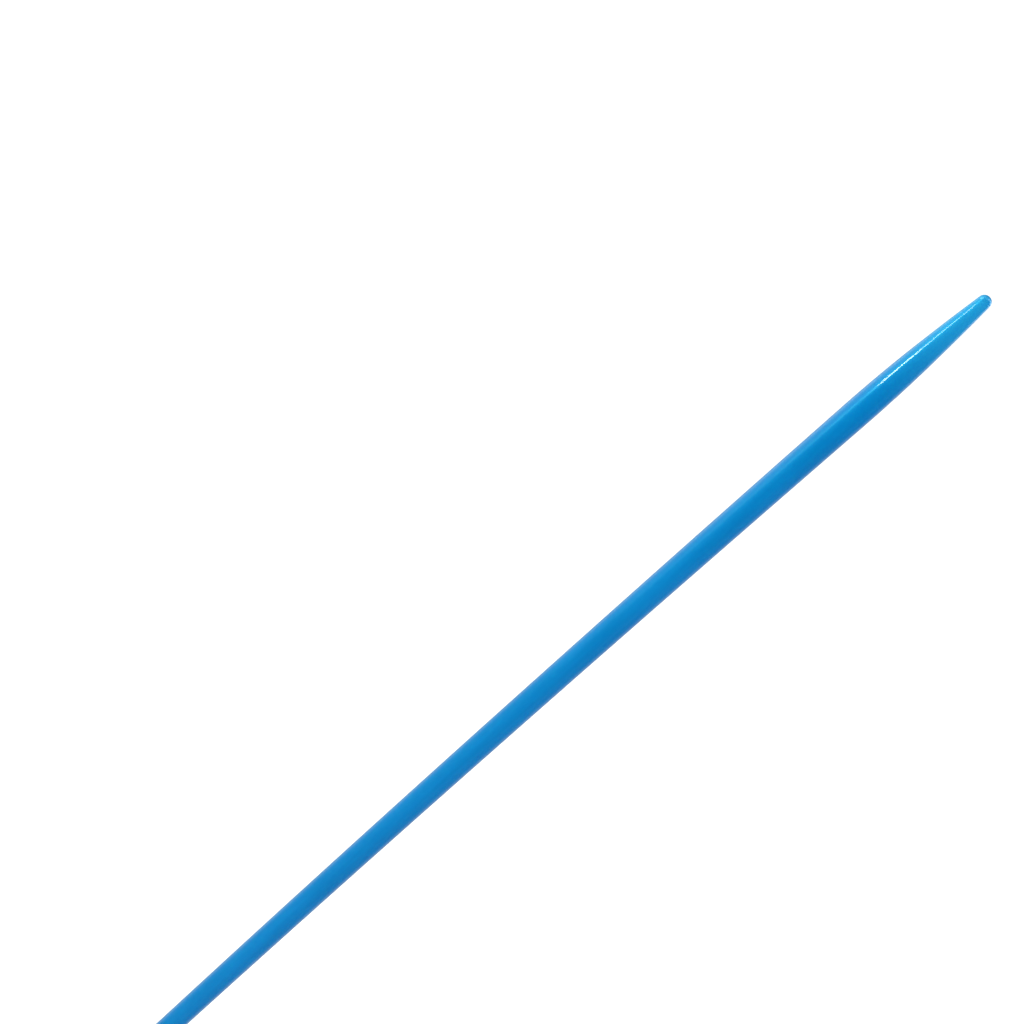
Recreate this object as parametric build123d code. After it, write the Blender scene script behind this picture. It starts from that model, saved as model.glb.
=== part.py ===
from build123d import *
import math
import os

# A small-gauge, single-pointed knitting needle with a steel core, in millimetres.
# The needle stands on +Z: the origin is the centre of the end cap's flat back, and the tip is up.
# Every piece is a body of revolution about Z, drawn as a half section in the XZ plane.

# Whole needle
NEEDLE_LENGTH = 180.0
SHAFT_DIAMETER = 2.75

# Tip: a long arc bends the wall inwards, a longer one closes it, and a ball end rounds it off
TIP_RADIUS = 0.65
TAPER_LENGTH = 17.4
LEAD_IN_RADIUS = 180.0
LEAD_IN_ANGLE = 3.0

# Steel core: drawn wire with rolled grooves that key it into the plastic
CORE_DIAMETER = 1.5
CORE_END_CHAMFER = 0.15
CORE_TIP_SETBACK = 12.0
CORE_STUB_LENGTH = 2.6
CORE_GROOVE_DEPTH = 0.12
CORE_GROOVE_WIDTH = 0.9
CORE_GROOVE_PITCH = 3.0
CORE_GROOVE_COUNT = 3
CORE_FIRST_GROOVE = 13.0

# End cap: a round button with a flared neck, pressed over a barbed spigot
CAP_LENGTH = 9.0
CAP_DIAMETER = 8.0
CAP_BACK_EDGE_RADIUS = 1.1
CAP_RIM_WIDTH = 0.9
CAP_SHOULDER_RADIUS = 0.7
CAP_NECK_DIAMETER = 4.0
CAP_NECK_LENGTH = 1.4
CAP_MOUTH_RADIUS = 0.4

# Spigot on the rear of the shaft, inside the end cap
SPIGOT_DIAMETER = 2.4
SPIGOT_LENGTH = 5.0
BARB_HEIGHT = 0.1
BARB_LENGTH = 0.9
BARB_PITCH = 1.6
BARB_COUNT = 2
FIRST_BARB_OFFSET = 1.0
STUB_POCKET_SPARE = 0.2

# Derived places along the axis
SHAFT_RADIUS = SHAFT_DIAMETER / 2
CORE_RADIUS = CORE_DIAMETER / 2
SPIGOT_RADIUS = SPIGOT_DIAMETER / 2
SPIGOT_BACK = CAP_LENGTH - SPIGOT_LENGTH
CORE_BACK = SPIGOT_BACK - CORE_STUB_LENGTH
CORE_FRONT = NEEDLE_LENGTH - CORE_TIP_SETBACK
POCKET_BACK = CORE_BACK - STUB_POCKET_SPARE
TAPER_START = NEEDLE_LENGTH - TAPER_LENGTH


def closing_arc(lead_in):
    """Radius and turn, in degrees, of the arc that leaves the lead-in smoothly and meets the ball end."""
    start = lead_in @ 1
    direction = lead_in % 1
    outward = Vector(direction.Y, -direction.X)
    to_start = start - Vector(0, NEEDLE_LENGTH - TIP_RADIUS)
    reach = to_start.dot(to_start) - TIP_RADIUS**2
    radius = reach / (2 * (to_start.dot(outward) - TIP_RADIUS))
    centre_to_ball = outward * radius - to_start
    turn = math.degrees(math.atan2(centre_to_ball.Y, centre_to_ball.X)) - LEAD_IN_ANGLE
    return radius, turn


def revolve_section(edges):
    """Turn a closed half section, drawn with X as the radius and Y as the height, about Z."""
    face = Plane.XZ * make_face(edges)
    return revolve(face, Axis.Z, 360)


def tip_edges():
    """The taper and the ball end, as three arcs that run smoothly into each other."""
    lead_in = JernArc((SHAFT_RADIUS, TAPER_START), (0, 1), LEAD_IN_RADIUS, LEAD_IN_ANGLE)
    radius, turn = closing_arc(lead_in)
    closing = JernArc(lead_in @ 1, lead_in % 1, radius, turn)
    ball = JernArc(closing @ 1, closing % 1, TIP_RADIUS, 90 - LEAD_IN_ANGLE - turn)
    return [lead_in, closing, ball]


def barb_points():
    """The spigot's side from back to front: each barb slopes out and drops square."""
    points = [(SPIGOT_RADIUS, SPIGOT_BACK)]
    for index in range(BARB_COUNT):
        foot = SPIGOT_BACK + FIRST_BARB_OFFSET + index * BARB_PITCH
        points.append((SPIGOT_RADIUS, foot))
        points.append((SPIGOT_RADIUS + BARB_HEIGHT, foot + BARB_LENGTH))
        points.append((SPIGOT_RADIUS, foot + BARB_LENGTH))
    points.append((SPIGOT_RADIUS, CAP_LENGTH))
    return points


def core_side_points():
    """The wire's side from the spigot's back to the start of the front chamfer."""
    points = [(CORE_RADIUS, SPIGOT_BACK)]
    for index in range(CORE_GROOVE_COUNT):
        low = CORE_FIRST_GROOVE + index * CORE_GROOVE_PITCH
        high = low + CORE_GROOVE_WIDTH
        points.append((CORE_RADIUS, low))
        points.append((CORE_RADIUS - CORE_GROOVE_DEPTH, low + CORE_GROOVE_DEPTH))
        points.append((CORE_RADIUS - CORE_GROOVE_DEPTH, high - CORE_GROOVE_DEPTH))
        points.append((CORE_RADIUS, high))
    points.append((CORE_RADIUS, CORE_FRONT - CORE_END_CHAMFER))
    points.append((CORE_RADIUS - CORE_END_CHAMFER, CORE_FRONT))
    points.append((0, CORE_FRONT))
    return points


def make_steel_core():
    """Drawn wire, chamfered at both ends, with its bare stub behind the spigot."""
    stub = [
        (0, CORE_BACK),
        (CORE_RADIUS - CORE_END_CHAMFER, CORE_BACK),
        (CORE_RADIUS, CORE_BACK + CORE_END_CHAMFER),
    ]
    section = Polyline(*stub, *core_side_points(), close=True)
    return revolve_section([section])


def make_shaft():
    """Plastic moulded round the wire: barbed spigot, straight shaft, taper and ball end."""
    outer = Polyline(*barb_points(), (SHAFT_RADIUS, CAP_LENGTH), (SHAFT_RADIUS, TAPER_START))
    tip = tip_edges()
    solid_tip = Line(tip[-1] @ 1, (0, CORE_FRONT))
    wire_wall = Polyline(*reversed(core_side_points()))
    back_face = Line((CORE_RADIUS, SPIGOT_BACK), (SPIGOT_RADIUS, SPIGOT_BACK))
    return revolve_section([outer, *tip, solid_tip, wire_wall, back_face])


def make_end_cap():
    """Round button whose flat back is the needle's base, flared down to a neck at the shaft."""
    cap_radius = CAP_DIAMETER / 2
    neck_radius = CAP_NECK_DIAMETER / 2
    rim_top = CAP_BACK_EDGE_RADIUS + CAP_RIM_WIDTH
    neck_foot = CAP_LENGTH - CAP_NECK_LENGTH
    shoulder_end = (cap_radius - CAP_SHOULDER_RADIUS, rim_top + CAP_SHOULDER_RADIUS)
    mouth_edge = (neck_radius, CAP_LENGTH - CAP_MOUTH_RADIUS)

    back = Line((0, 0), (cap_radius - CAP_BACK_EDGE_RADIUS, 0))
    back_edge = JernArc(back @ 1, (1, 0), CAP_BACK_EDGE_RADIUS, 90)
    rim = Line(back_edge @ 1, (cap_radius, rim_top))
    shoulder = JernArc(rim @ 1, (0, 1), CAP_SHOULDER_RADIUS, 90)
    flare = EllipticalCenterArc(
        (shoulder_end[0], neck_foot),
        shoulder_end[0] - neck_radius,
        neck_foot - shoulder_end[1],
        start_angle=180,
        arc_size=90,
    )
    neck = Line((neck_radius, neck_foot), mouth_edge)
    mouth = JernArc(neck @ 1, (0, 1), CAP_MOUTH_RADIUS, 90)
    front = Line(mouth @ 1, (SPIGOT_RADIUS, CAP_LENGTH))
    socket = Polyline(*reversed(barb_points()))
    step = Line((SPIGOT_RADIUS, SPIGOT_BACK), (CORE_RADIUS, SPIGOT_BACK))
    pocket = Polyline((CORE_RADIUS, SPIGOT_BACK), (CORE_RADIUS, POCKET_BACK), (0, POCKET_BACK))
    axis = Line((0, POCKET_BACK), (0, 0))
    outside = [back, back_edge, rim, shoulder, flare, neck, mouth, front]
    return revolve_section([*outside, socket, step, pocket, axis])


def main():
    os.makedirs("parts", exist_ok=True)
    export_step(make_steel_core(), "parts/steel_core.step")
    export_step(make_shaft(), "parts/shaft.step")
    export_step(make_end_cap(), "parts/end_cap.step")


main()
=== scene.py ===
import math

import bpy
from mathutils import Matrix, Vector, noise


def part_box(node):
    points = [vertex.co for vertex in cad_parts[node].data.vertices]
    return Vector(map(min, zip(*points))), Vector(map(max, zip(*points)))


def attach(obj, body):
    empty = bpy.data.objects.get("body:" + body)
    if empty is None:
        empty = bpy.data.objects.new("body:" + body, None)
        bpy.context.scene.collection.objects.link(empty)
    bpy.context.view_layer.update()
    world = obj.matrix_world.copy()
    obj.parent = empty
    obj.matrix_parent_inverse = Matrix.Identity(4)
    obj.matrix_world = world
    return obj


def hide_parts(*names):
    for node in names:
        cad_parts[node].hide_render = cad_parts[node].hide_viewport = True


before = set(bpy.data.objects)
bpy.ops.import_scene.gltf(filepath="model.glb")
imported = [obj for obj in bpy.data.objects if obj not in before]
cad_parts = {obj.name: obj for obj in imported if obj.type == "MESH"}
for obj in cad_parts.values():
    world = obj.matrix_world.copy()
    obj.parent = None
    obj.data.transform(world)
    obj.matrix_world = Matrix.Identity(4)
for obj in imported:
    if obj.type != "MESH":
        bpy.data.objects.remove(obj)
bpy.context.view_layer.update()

# ---------------------------------------------------------------------------
# Sizes, in metres, worked out from the frame where the frame has them
# ---------------------------------------------------------------------------
MM = 0.001

shaft_low, shaft_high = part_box("shaft")
_, cap_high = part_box("end_cap")
core_low, core_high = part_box("steel_core")

NEEDLE_TOP = shaft_high.z
SHAFT_RADIUS = 1.375 * MM
SPIGOT_BACK = shaft_low.z
CAP_FRONT = cap_high.z
CAP_RADIUS = 4.0 * MM
CORE_RADIUS = 0.75 * MM
CORE_BACK = core_low.z
CORE_FRONT = core_high.z

# The taper: a long arc, a longer one and a ball end, each smooth into the next
TIP_RADIUS = 0.65 * MM
TAPER_LENGTH = 17.4 * MM
LEAD_IN_RADIUS = 180 * MM
LEAD_IN_ANGLE = math.radians(3)

# Spigot with two barbs, and the grooves rolled into the wire
SPIGOT_RADIUS = 1.2 * MM
BARB_HEIGHT = 0.1 * MM
BARB_LENGTH = 0.9 * MM
BARB_PITCH = 1.6 * MM
FIRST_BARB_OFFSET = 1.0 * MM
BARB_COUNT = 2
GROOVE_DEPTH = 0.12 * MM
GROOVE_WIDTH = 0.9 * MM
GROOVE_PITCH = 3.0 * MM
FIRST_GROOVE = 13.0 * MM
GROOVE_COUNT = 3
WIRE_CHAMFER = 0.15 * MM

# End cap
CAP_BACK_EDGE = 1.1 * MM
CAP_RIM_WIDTH = 0.9 * MM
CAP_SHOULDER = 0.7 * MM
CAP_NECK_RADIUS = 2.0 * MM
CAP_NECK_LENGTH = 1.4 * MM
CAP_MOUTH = 0.4 * MM
POCKET_BACK = 1.2 * MM
GATE_RADIUS = 0.75 * MM
GATE_DEPTH = 0.1 * MM
BACK_RING_RADIUS = 1.8 * MM

# Slack for telling which vertices belong to a fit, and how near the axis nothing is changed
TOUCH = 0.01 * MM
WIRE_SLACK = 0.05 * MM
WIRE_END_SLACK = 0.5 * MM
SOCKET_SLACK = 0.15 * MM
NEAR_AXIS = 0.2 * MM

# What a real moulding adds to the drawn shape
BOW = 0.563 * MM
BOW_DIRECTION = Vector((-0.906, -0.423, 0))
WOBBLE = 0.002 * MM
WOBBLE_AROUND = 300
WOBBLE_ALONG = 90
PARTING_HEIGHT = 0.018 * MM
PARTING_WIDTH = 0.10 * MM
PARTING_AZIMUTH = math.radians(25)

# Steps round each half turn, and the extra ones beside a parting ridge, in degrees
HALF_AROUND = 48
RIDGE_SAMPLES = (0.9, 1.8, 2.8, 5.2)

# Steps along each stretch of an outline
SHAFT_STEP = 1.5 * MM
WIRE_STEP = 10 * MM
LEAD_IN_STEPS = 16
CLOSING_STEPS = 40
BALL_STEPS = 18
BACK_EDGE_STEPS = 14
SHOULDER_STEPS = 12
FLARE_STEPS = 20
MOUTH_STEPS = 8
SHARP_ANGLE = math.radians(32)

# Camera: 31 degrees round from the front and 33 degrees above the horizon
CAMERA_PLACE = Vector((0.07510, -0.15790, 0.24076))
CAMERA_TARGET = Vector((-0.01492, -0.00704, 0.12656))
CAMERA_ROLL = math.radians(-45.304)
CAMERA_FACING = (CAMERA_TARGET - CAMERA_PLACE).normalized()
CAMERA_LENS = 70.3
SENSOR_WIDTH = 36
NEAR_CLIP = 0.01

# Studio: how bright the surroundings are for diffuse light and for reflections
STUDIO_FILL = 0.73
GLOSS_FRONT = 0.02
GLOSS_BACK = 0.6

# How far a ray has to point to the far side, as a cosine, for the brightness to start and to end
FAR_SIDE_START = 0.3
FAR_SIDE_FULL = 0.9

# Panels that only gloss sees: azimuth, half widths at the edge and at the full brightness, all
# in degrees, the rise of a ray where the panel starts and is at its brightest, and brightness
GLOSS_PANELS = (
    (67, 15, 9, -0.38, -0.10, 3.0),
    (-158, 15, 9, -0.12, 0.06, 1.6),
    (-159, 43, 37, -0.62, -0.38, 0.65),
)

# Softboxes: name, place, target, width, height, watts, colour, and whether gloss sees them
SOFTBOXES = (
    ("line_light", (-0.208, -0.336, 0.062), (0, 0, 0.172), 0.085, 0.072, 0.27, (1.0, 0.82, 0.62), True),
    ("foot_light", (-0.208, -0.336, 0.043), (0, 0, 0.172), 0.085, 0.034, 0.16, (1.0, 0.86, 0.68), True),
    ("left_panel", (-0.25, -0.185, 0.25), (0, 0, 0.17), 0.2, 0.18, 0.50, (0.75, 1.0, 0.66), True),
    ("top_panel", (0.05, 0.10, 0.55), (0, 0, 0.17), 0.3, 0.3, 0.40, (1, 1, 1), True),
    ("right_panel", (0.45, -0.04, 0.18), (0, 0, 0.12), 0.3, 0.3, 0.26, (1, 1, 1), False),
)

# Floor: half its width, and a glow that keeps it as white as the background
FLOOR_HALF = 6.0
FLOOR_GLOW = 0.42

# Colours
DEEP_BLUE = (0.0, 0.181, 0.518, 1)
BRIGHT_BLUE = (0.001, 0.201, 0.562, 1)
# Painted light: a paler blue for the tip, standing in for light that shines through its thin plastic
PAINTED_TIP_LIGHT_BLUE = (0.014, 0.305, 0.66, 1)
WORN_BLUE = (0.03, 0.27, 0.62, 1)
GLOSS_TINT = (0.0, 0.64, 1.0, 1)
DARK_STEEL = (0.42, 0.43, 0.45, 1)
LIGHT_STEEL = (0.66, 0.67, 0.69, 1)
PALE_GREY = (0.90, 0.90, 0.90, 1)
PALER_GREY = (0.93, 0.93, 0.93, 1)

# Noise grain, in cells per metre along X, Y and Z
STREAK_GRAIN = (2600, 2600, 60)
CLOUD_GRAIN = (160, 160, 90)
SCUFF_GRAIN = (5200, 5200, 420)
WEAR_GRAIN = (1100, 1100, 1100)
LINE_GRAIN = (9000, 9000, 150)
PEEL_GRAIN = (1500, 1500, 900)
DRAWN_GRAIN = (9000, 9000, 40)
FLOOR_GRAIN = (9, 9, 9)

# Heights of the fine texture that the materials add as bumps
PEEL_HEIGHT = 0.00025 * MM
LINE_HEIGHT = 0.0003 * MM
DRAWN_HEIGHT = 0.002 * MM


# ---------------------------------------------------------------------------
# Outlines: half sections as lists of (radius, height)
# ---------------------------------------------------------------------------
def arc(centre, radius, start, end, steps):
    """Points on a circle, from angle start to angle end, both in radians from +radius."""
    return [
        (
            centre[0] + radius * math.cos(start + (end - start) * k / steps),
            centre[1] + radius * math.sin(start + (end - start) * k / steps),
        )
        for k in range(steps + 1)
    ]


def climb(radius, low, high, step):
    """Evenly spaced points up a straight wall, both ends included."""
    count = max(1, round((high - low) / step))
    return [(radius, low + (high - low) * k / count) for k in range(count + 1)]


def barbs(radius):
    """The barbed spigot's wall, from its back to the shoulder."""
    points = [(radius, SPIGOT_BACK)]
    for index in range(BARB_COUNT):
        foot = SPIGOT_BACK + FIRST_BARB_OFFSET + index * BARB_PITCH
        points.append((radius, foot))
        points.append((radius + BARB_HEIGHT, foot + BARB_LENGTH))
        points.append((radius, foot + BARB_LENGTH + TOUCH))
    points.append((radius, CAP_FRONT))
    return points


def wire_wall(radius):
    """The wire's side with its rolled grooves, from the spigot's back to the front end."""
    points = [(radius, SPIGOT_BACK)]
    for index in range(GROOVE_COUNT):
        low = FIRST_GROOVE + index * GROOVE_PITCH
        high = low + GROOVE_WIDTH
        points.append((radius, low))
        points.append((radius - GROOVE_DEPTH, low + GROOVE_DEPTH))
        points.append((radius - GROOVE_DEPTH, high - GROOVE_DEPTH))
        points.append((radius, high))
    points += climb(radius, points[-1][1], CORE_FRONT - WIRE_CHAMFER, WIRE_STEP)[1:]
    points.append((radius - WIRE_CHAMFER, CORE_FRONT))
    points.append((0, CORE_FRONT))
    return points


def taper_points():
    """The outside from the end of the straight shaft to the very tip."""
    start = NEEDLE_TOP - TAPER_LENGTH
    lead_centre = (SHAFT_RADIUS - LEAD_IN_RADIUS, start)
    lead_in = arc(lead_centre, LEAD_IN_RADIUS, 0, LEAD_IN_ANGLE, LEAD_IN_STEPS)
    outward = Vector((math.cos(LEAD_IN_ANGLE), math.sin(LEAD_IN_ANGLE)))
    to_start = Vector(lead_in[-1]) - Vector((0, NEEDLE_TOP - TIP_RADIUS))
    reach = to_start.dot(to_start) - TIP_RADIUS**2
    radius = reach / (2 * (to_start.dot(outward) - TIP_RADIUS))
    centre = Vector(lead_in[-1]) - outward * radius
    to_ball = Vector((0, NEEDLE_TOP - TIP_RADIUS)) - centre
    end_angle = math.atan2(to_ball.y, to_ball.x)
    closing = arc(centre, radius, LEAD_IN_ANGLE, end_angle, CLOSING_STEPS)
    ball = arc((0, NEEDLE_TOP - TIP_RADIUS), TIP_RADIUS, end_angle, math.pi / 2, BALL_STEPS)
    ball[-1] = (0, NEEDLE_TOP)
    return lead_in + closing[1:] + ball[1:]


def shaft_outline():
    """The plastic moulding, from the blind end of its bore round to the tip."""
    bore = list(reversed(wire_wall(CORE_RADIUS)))
    spigot = barbs(SPIGOT_RADIUS)
    straight = climb(SHAFT_RADIUS, CAP_FRONT, NEEDLE_TOP - TAPER_LENGTH, SHAFT_STEP)
    return bore + spigot + straight + taper_points()[1:]


def core_outline():
    """The steel wire with both its ends chamfered."""
    back = [
        (0, CORE_BACK),
        (CORE_RADIUS - WIRE_CHAMFER, CORE_BACK),
        (CORE_RADIUS, CORE_BACK + WIRE_CHAMFER),
    ]
    return back + wire_wall(CORE_RADIUS)


def cap_outline():
    """The end cap, from the centre of its flat back round to the bottom of its pocket."""
    rim_top = CAP_BACK_EDGE + CAP_RIM_WIDTH
    neck_foot = CAP_FRONT - CAP_NECK_LENGTH
    shoulder_radius = CAP_RADIUS - CAP_SHOULDER
    flare_width = shoulder_radius - CAP_NECK_RADIUS
    flare_height = neck_foot - rim_top - CAP_SHOULDER
    dimple = [(0, GATE_DEPTH), (GATE_RADIUS - GATE_DEPTH, GATE_DEPTH), (GATE_RADIUS, 0)]
    back = dimple + [(BACK_RING_RADIUS, 0)]
    edge_centre = (CAP_RADIUS - CAP_BACK_EDGE, CAP_BACK_EDGE)
    back_edge = arc(edge_centre, CAP_BACK_EDGE, -math.pi / 2, 0, BACK_EDGE_STEPS)
    shoulder = arc((shoulder_radius, rim_top), CAP_SHOULDER, 0, math.pi / 2, SHOULDER_STEPS)
    flare = [
        (
            shoulder_radius - flare_width * math.sin(math.pi / 2 * k / FLARE_STEPS),
            neck_foot - flare_height * math.cos(math.pi / 2 * k / FLARE_STEPS),
        )
        for k in range(1, FLARE_STEPS + 1)
    ]
    mouth_centre = (CAP_NECK_RADIUS - CAP_MOUTH, CAP_FRONT - CAP_MOUTH)
    mouth = arc(mouth_centre, CAP_MOUTH, 0, math.pi / 2, MOUTH_STEPS)
    socket = list(reversed(barbs(SPIGOT_RADIUS)))
    pocket = [(CORE_RADIUS, SPIGOT_BACK), (CORE_RADIUS, POCKET_BACK), (0, POCKET_BACK)]
    return back + back_edge + shoulder + flare + mouth + socket + pocket


# ---------------------------------------------------------------------------
# Meshes
# ---------------------------------------------------------------------------
def azimuths():
    """Even steps round the axis, with extra ones on and beside the two parting ridges."""
    even = [math.pi * k / HALF_AROUND for k in range(HALF_AROUND)]
    extra = [side * math.radians(degrees) for degrees in RIDGE_SAMPLES for side in (-1, 1)]
    half = sorted({round(angle % math.pi, 6) for angle in even + extra})
    return [PARTING_AZIMUTH + turn + angle for turn in (0, math.pi) for angle in half]


def turned(name, outline):
    """A closed mesh turned about Z from an outline that starts and ends on the axis."""
    angles = azimuths()
    steps = len(angles)
    vertices = []
    rings = []
    for radius, height in outline:
        if radius < 1e-9:
            rings.append([len(vertices)])
            vertices.append((0.0, 0.0, height))
            continue
        rings.append(list(range(len(vertices), len(vertices) + steps)))
        for angle in angles:
            vertices.append((radius * math.cos(angle), radius * math.sin(angle), height))
    faces = []
    for low, high in zip(rings, rings[1:]):
        for k in range(steps):
            after = (k + 1) % steps
            if len(low) == 1:
                faces.append((low[0], high[after], high[k]))
            elif len(high) == 1:
                faces.append((low[k], low[after], high[0]))
            else:
                faces.append((low[k], low[after], high[after], high[k]))
    mesh = bpy.data.meshes.new(name)
    mesh.from_pydata(vertices, [], faces)
    mesh.validate()
    mesh.shade_smooth()
    mesh.set_sharp_from_angle(angle=SHARP_ANGLE)
    made = bpy.data.objects.new(name, mesh)
    bpy.context.scene.collection.objects.link(made)
    return made


def parting_ridge(angle, radius):
    """Height of the two fine ridges where the mould's halves meet."""
    off = math.remainder(angle - PARTING_AZIMUTH, math.pi) * radius
    return PARTING_HEIGHT * math.exp(-((off / (PARTING_WIDTH / 2)) ** 2))


def shape_like_a_moulding(piece, in_fit):
    """Adds the parting ridges and the faint wobble of a real moulding, but not to its fits."""
    for vertex in piece.data.vertices:
        radius = math.hypot(vertex.co.x, vertex.co.y)
        if radius < NEAR_AXIS or in_fit(radius, vertex.co.z):
            continue
        angle = math.atan2(vertex.co.y, vertex.co.x)
        spread = Vector((WOBBLE_AROUND, WOBBLE_AROUND, WOBBLE_ALONG))
        swirl = noise.noise(vertex.co * spread)
        grown = radius + WOBBLE * swirl + parting_ridge(angle, radius)
        vertex.co.x *= grown / radius
        vertex.co.y *= grown / radius


def on_wire_or_spigot(radius, height):
    """True on the shaft's bore and its spigot, where other pieces touch it."""
    on_wire = radius < CORE_RADIUS + WIRE_SLACK and height < CORE_FRONT + WIRE_END_SLACK
    return on_wire or height < CAP_FRONT + TOUCH


def in_socket(radius, height):
    """True in the end cap's socket and pocket and on its flat back."""
    return height < TOUCH or (radius < SPIGOT_RADIUS + SOCKET_SLACK and height > GATE_DEPTH)


def bow(piece):
    """Bends a piece with the whole needle, whose ends stay on the axis."""
    for vertex in piece.data.vertices:
        along = vertex.co.z / NEEDLE_TOP
        vertex.co += BOW_DIRECTION * 4 * BOW * along * (1 - along)


# ---------------------------------------------------------------------------
# Materials
# ---------------------------------------------------------------------------
class Nodes:
    """Short calls for building one material's node tree."""

    def __init__(self, name):
        self.material = bpy.data.materials.new(name)
        self.material.use_nodes = True
        self.tree = self.material.node_tree
        self.shader = self.tree.nodes["Principled BSDF"]
        self.place = self.add("ShaderNodeTexCoord").outputs["Object"]

    def add(self, kind, **settings):
        node = self.tree.nodes.new(kind)
        for key, value in settings.items():
            setattr(node, key, value)
        return node

    def link(self, source, target):
        self.tree.links.new(source, target)

    def stretched(self, scale):
        mapping = self.add("ShaderNodeMapping")
        mapping.inputs["Scale"].default_value = scale
        self.link(self.place, mapping.inputs["Vector"])
        return mapping.outputs["Vector"]

    def noise(self, scale, detail=2.0, rough=0.5):
        """Noise over the stretched place; scale is in cells per metre for X, Y and Z."""
        node = self.add("ShaderNodeTexNoise")
        node.inputs["Scale"].default_value = 1.0
        node.inputs["Detail"].default_value = detail
        node.inputs["Roughness"].default_value = rough
        self.link(self.stretched(scale), node.inputs["Vector"])
        return node.outputs["Fac"]

    def ranged(self, value, low, high, to_low, to_high):
        node = self.add("ShaderNodeMapRange", interpolation_type="SMOOTHSTEP")
        node.inputs["From Min"].default_value = low
        node.inputs["From Max"].default_value = high
        node.inputs["To Min"].default_value = to_low
        node.inputs["To Max"].default_value = to_high
        self.link(value, node.inputs["Value"])
        return node.outputs["Result"]

    def maths(self, operation, first, second):
        node = self.add("ShaderNodeMath", operation=operation)
        for socket, value in zip(node.inputs, (first, second)):
            if isinstance(value, (int, float)):
                socket.default_value = value
            else:
                self.link(value, socket)
        return node.outputs["Value"]

    def mixed(self, factor, first, second):
        node = self.add("ShaderNodeMix", data_type="RGBA")
        self.link(factor, node.inputs["Factor"])
        for socket, value in ((node.inputs[6], first), (node.inputs[7], second)):
            if isinstance(value, tuple):
                socket.default_value = value
            else:
                self.link(value, socket)
        return node.outputs[2]

    def height(self):
        split = self.add("ShaderNodeSeparateXYZ")
        self.link(self.place, split.inputs["Vector"])
        return split.outputs["Z"]

    def radius(self):
        length = self.add("ShaderNodeVectorMath", operation="LENGTH")
        self.link(self.stretched((1, 1, 0)), length.inputs[0])
        return length.outputs["Value"]

    def bump(self, value, distance, below=None):
        node = self.add("ShaderNodeBump")
        node.inputs["Distance"].default_value = distance
        node.inputs["Strength"].default_value = 1.0
        self.link(value, node.inputs["Height"])
        if below is not None:
            self.link(below, node.inputs["Normal"])
        return node.outputs["Normal"]


def moulded_blue(name, painted_tip_light_and_polish, wear):
    """Bright blue moulded plastic: flow streaks, pigment clouds, painted light that makes the tip
    paler, a polished tip and fine scuffs.
    """
    n = Nodes(name)
    streaks = n.noise(STREAK_GRAIN, detail=3, rough=0.55)
    clouds = n.noise(CLOUD_GRAIN, detail=2)
    pigment = n.maths("ADD", n.maths("MULTIPLY", streaks, 0.45), n.maths("MULTIPLY", clouds, 0.55))
    colour = n.mixed(n.ranged(pigment, 0.35, 0.65, 0, 1), DEEP_BLUE, BRIGHT_BLUE)
    if painted_tip_light_and_polish:
        # Painted light: the blue turns paler towards the tip, standing in for light that shines through
        # the thin plastic there
        painted_tip_light_mask = n.ranged(n.height(), CORE_FRONT - 4 * MM, NEEDLE_TOP, 0, 1)
        colour = n.mixed(painted_tip_light_mask, colour, PAINTED_TIP_LIGHT_BLUE)
    scuffs = n.noise(SCUFF_GRAIN, detail=4, rough=0.65)
    roughness = n.ranged(scuffs, 0.3, 0.75, 0.34, 0.42)
    if painted_tip_light_and_polish:
        polish_low = NEEDLE_TOP - 1.3 * TAPER_LENGTH
        polish_high = NEEDLE_TOP - 0.9 * TAPER_LENGTH
        polish = n.ranged(n.height(), polish_low, polish_high, 0, 0.06)
        roughness = n.maths("SUBTRACT", roughness, polish)
    if wear:
        worn = n.ranged(n.noise(WEAR_GRAIN, detail=5, rough=0.7), 0.50, 0.68, 0, 1)
        rim = n.ranged(n.radius(), 0.80 * CAP_RADIUS, CAP_RADIUS, 0, 1)
        rubbed = n.maths("MULTIPLY", worn, rim)
        colour = n.mixed(n.maths("MULTIPLY", rubbed, 0.6), colour, WORN_BLUE)
        roughness = n.maths("ADD", roughness, n.maths("MULTIPLY", rubbed, 0.2))
    n.link(colour, n.shader.inputs["Base Color"])
    n.link(roughness, n.shader.inputs["Roughness"])
    n.shader.inputs["IOR"].default_value = 1.5
    n.shader.inputs["Specular IOR Level"].default_value = 1.0
    n.shader.inputs["Specular Tint"].default_value = GLOSS_TINT
    n.shader.inputs["Coat Weight"].default_value = 0.6
    n.shader.inputs["Coat Roughness"].default_value = 0.05
    n.shader.inputs["Coat IOR"].default_value = 1.4
    n.shader.inputs["Subsurface Weight"].default_value = 0.25
    n.shader.inputs["Subsurface Radius"].default_value = (0.2, 0.6, 1.0)
    n.shader.inputs["Subsurface Scale"].default_value = 0.6 * MM
    lines = n.noise(LINE_GRAIN, detail=2)
    peel = n.noise(PEEL_GRAIN, detail=1)
    normal = n.bump(peel, PEEL_HEIGHT)
    n.link(n.bump(lines, LINE_HEIGHT, below=normal), n.shader.inputs["Normal"])
    return n.material


def drawn_steel():
    """Bright wire with lengthwise drawing lines."""
    n = Nodes("drawn_steel")
    lines = n.noise(DRAWN_GRAIN, detail=4, rough=0.6)
    n.link(n.mixed(lines, DARK_STEEL, LIGHT_STEEL), n.shader.inputs["Base Color"])
    n.link(n.ranged(lines, 0.3, 0.7, 0.22, 0.42), n.shader.inputs["Roughness"])
    n.shader.inputs["Metallic"].default_value = 1.0
    n.link(n.bump(lines, DRAWN_HEIGHT), n.shader.inputs["Normal"])
    return n.material


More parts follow.
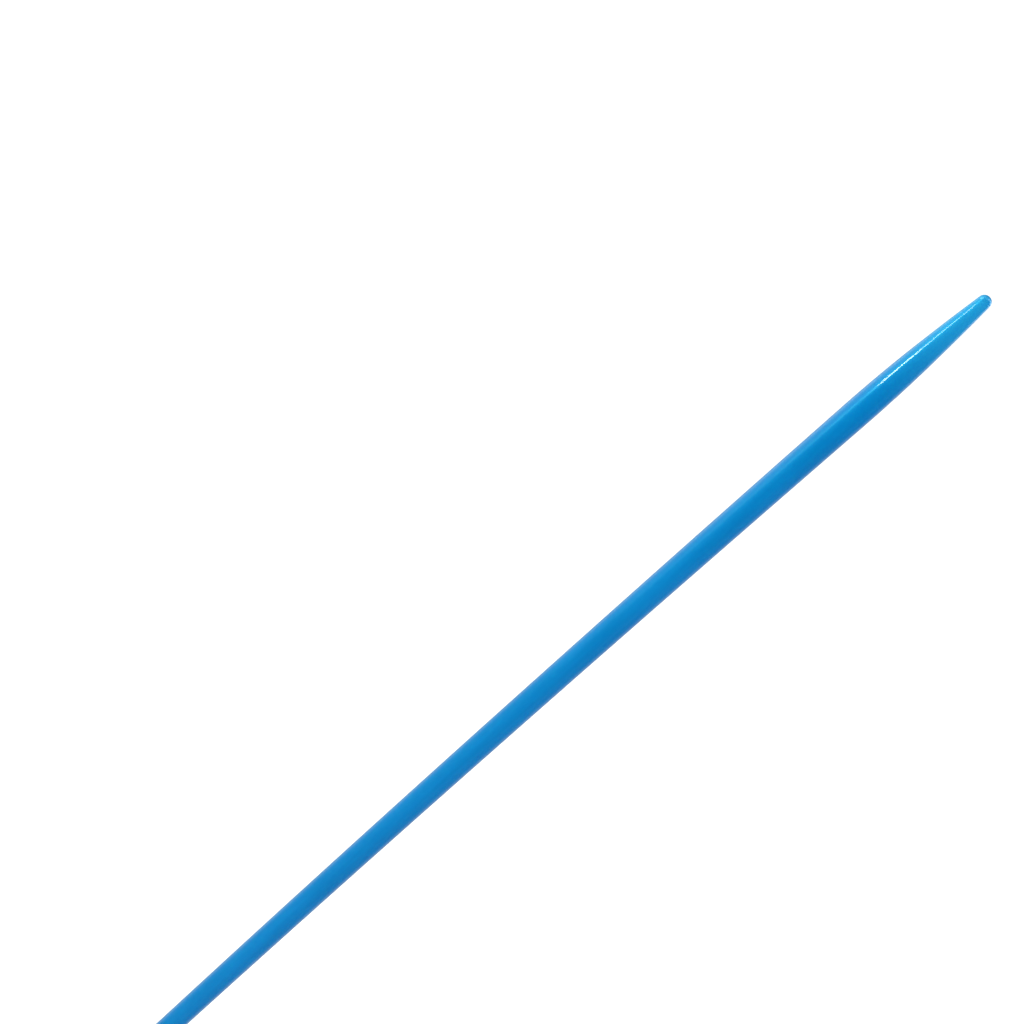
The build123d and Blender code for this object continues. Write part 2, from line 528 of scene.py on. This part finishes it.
def pale_floor():
    """Matt off-white, with a glow that keeps it as white as the background."""
    n = Nodes("pale_floor")
    tone = n.noise(FLOOR_GRAIN, detail=3)
    n.link(n.mixed(tone, PALE_GREY, PALER_GREY), n.shader.inputs["Base Color"])
    n.shader.inputs["Roughness"].default_value = 0.9
    n.shader.inputs["Specular IOR Level"].default_value = 0.1
    n.shader.inputs["Emission Color"].default_value = (1, 1, 1, 1)
    n.shader.inputs["Emission Strength"].default_value = FLOOR_GLOW
    return n.material


# ---------------------------------------------------------------------------
# The pieces
# ---------------------------------------------------------------------------
def add_piece(name, outline, material, node):
    piece = turned(name, outline)
    piece.data.materials.append(material)
    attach(piece, "root")
    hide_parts(node)
    return piece


shaft_blue = moulded_blue("shaft_blue", painted_tip_light_and_polish=True, wear=False)
cap_blue = moulded_blue("cap_blue", painted_tip_light_and_polish=False, wear=True)
shaft = add_piece("shaft_moulding", shaft_outline(), shaft_blue, "shaft")
cap = add_piece("end_cap_moulding", cap_outline(), cap_blue, "end_cap")
core = add_piece("core_wire", core_outline(), drawn_steel(), "steel_core")
shape_like_a_moulding(shaft, on_wire_or_spigot)
shape_like_a_moulding(cap, in_socket)
for piece in (shaft, cap, core):
    bow(piece)


# ---------------------------------------------------------------------------
# Stage, light and camera
# ---------------------------------------------------------------------------
def make_floor():
    mesh = bpy.data.meshes.new("floor")
    signs = ((-1, -1), (1, -1), (1, 1), (-1, 1))
    corners = [(x * FLOOR_HALF, y * FLOOR_HALF, 0) for x, y in signs]
    mesh.from_pydata(corners, [], [(0, 1, 2, 3)])
    floor = bpy.data.objects.new("floor", mesh)
    mesh.materials.append(pale_floor())
    bpy.context.scene.collection.objects.link(floor)
    floor.visible_glossy = False


def make_softbox(name, place, target, width, height, power, colour, seen_in_gloss):
    """A rectangular area light that the camera doesn't see."""
    light = bpy.data.lights.new(name, "AREA")
    light.shape = "RECTANGLE"
    light.size = width
    light.size_y = height
    light.energy = power
    light.color = colour
    lamp = bpy.data.objects.new(name, light)
    bpy.context.scene.collection.objects.link(lamp)
    lamp.location = place
    lamp.rotation_mode = "QUATERNION"
    lamp.rotation_quaternion = (Vector(target) - Vector(place)).to_track_quat("-Z", "Y")
    lamp.visible_camera = False
    lamp.visible_glossy = seen_in_gloss


def make_world():
    """An even studio, in which gloss sees a bright far side, a dim near side and the panels."""
    world = bpy.data.worlds.new("studio")
    bpy.context.scene.world = world
    world.use_nodes = True
    tree = world.node_tree
    background = tree.nodes["Background"]
    background.inputs["Color"].default_value = (1, 1, 1, 1)

    def add(kind, *sources):
        node = tree.nodes.new(kind)
        for index, source in sources:
            if hasattr(source, "links"):
                tree.links.new(source, node.inputs[index])
            else:
                node.inputs[index].default_value = source
        return node

    def vector(operation, *sources):
        node = add("ShaderNodeVectorMath", *enumerate(sources))
        node.operation = operation
        return node.outputs["Value" if operation == "DOT_PRODUCT" else "Vector"]

    def ramp(value, low, high, to_low, to_high):
        node = add("ShaderNodeMapRange", (0, value), (1, low), (2, high), (3, to_low), (4, to_high))
        node.interpolation_type = "SMOOTHSTEP"
        return node.outputs["Result"]

    def maths(operation, first, second):
        node = add("ShaderNodeMath", (0, first), (1, second))
        node.operation = operation
        return node.outputs["Value"]

    where = add("ShaderNodeTexCoord").outputs["Generated"]
    far_side = vector("DOT_PRODUCT", where, CAMERA_FACING)
    gloss = ramp(far_side, FAR_SIDE_START, FAR_SIDE_FULL, GLOSS_FRONT, GLOSS_BACK)
    level = vector("NORMALIZE", vector("MULTIPLY", where, Vector((1, 1, 0))))
    height = vector("DOT_PRODUCT", where, Vector((0, 0, 1)))
    for azimuth, edge, full, low, high, brightness in GLOSS_PANELS:
        turn = math.radians(azimuth)
        facing = vector("DOT_PRODUCT", level, Vector((math.cos(turn), math.sin(turn), 0)))
        across = ramp(facing, math.cos(math.radians(edge)), math.cos(math.radians(full)), 0.0, 1.0)
        panel = maths("MULTIPLY", across, ramp(height, low, high, 0.0, brightness))
        gloss = maths("ADD", gloss, panel)
    path = add("ShaderNodeLightPath").outputs
    lit = add("ShaderNodeMix", (0, path["Is Glossy Ray"]), (2, STUDIO_FILL), (3, gloss)).outputs[0]
    seen = add("ShaderNodeMix", (0, path["Is Camera Ray"]), (2, lit), (3, 1.0)).outputs[0]
    tree.links.new(seen, background.inputs["Strength"])


def make_camera():
    camera = bpy.data.objects.new("camera", bpy.data.cameras.new("camera"))
    bpy.context.scene.collection.objects.link(camera)
    camera.location = CAMERA_PLACE
    camera.rotation_mode = "QUATERNION"
    side = CAMERA_FACING.cross(Vector((0, 0, 1))).normalized()
    upright = side.cross(CAMERA_FACING)
    up = upright * math.cos(CAMERA_ROLL) + side * math.sin(CAMERA_ROLL)
    right = CAMERA_FACING.cross(up)
    rotation = Matrix((right, up, -CAMERA_FACING)).transposed()
    camera.rotation_quaternion = rotation.to_quaternion()
    camera.data.sensor_width = SENSOR_WIDTH
    camera.data.lens = CAMERA_LENS
    camera.data.clip_start = NEAR_CLIP
    bpy.context.scene.camera = camera


make_floor()
make_world()
make_camera()
for settings in SOFTBOXES:
    make_softbox(*settings)

bpy.context.scene.view_settings.view_transform = "Standard"
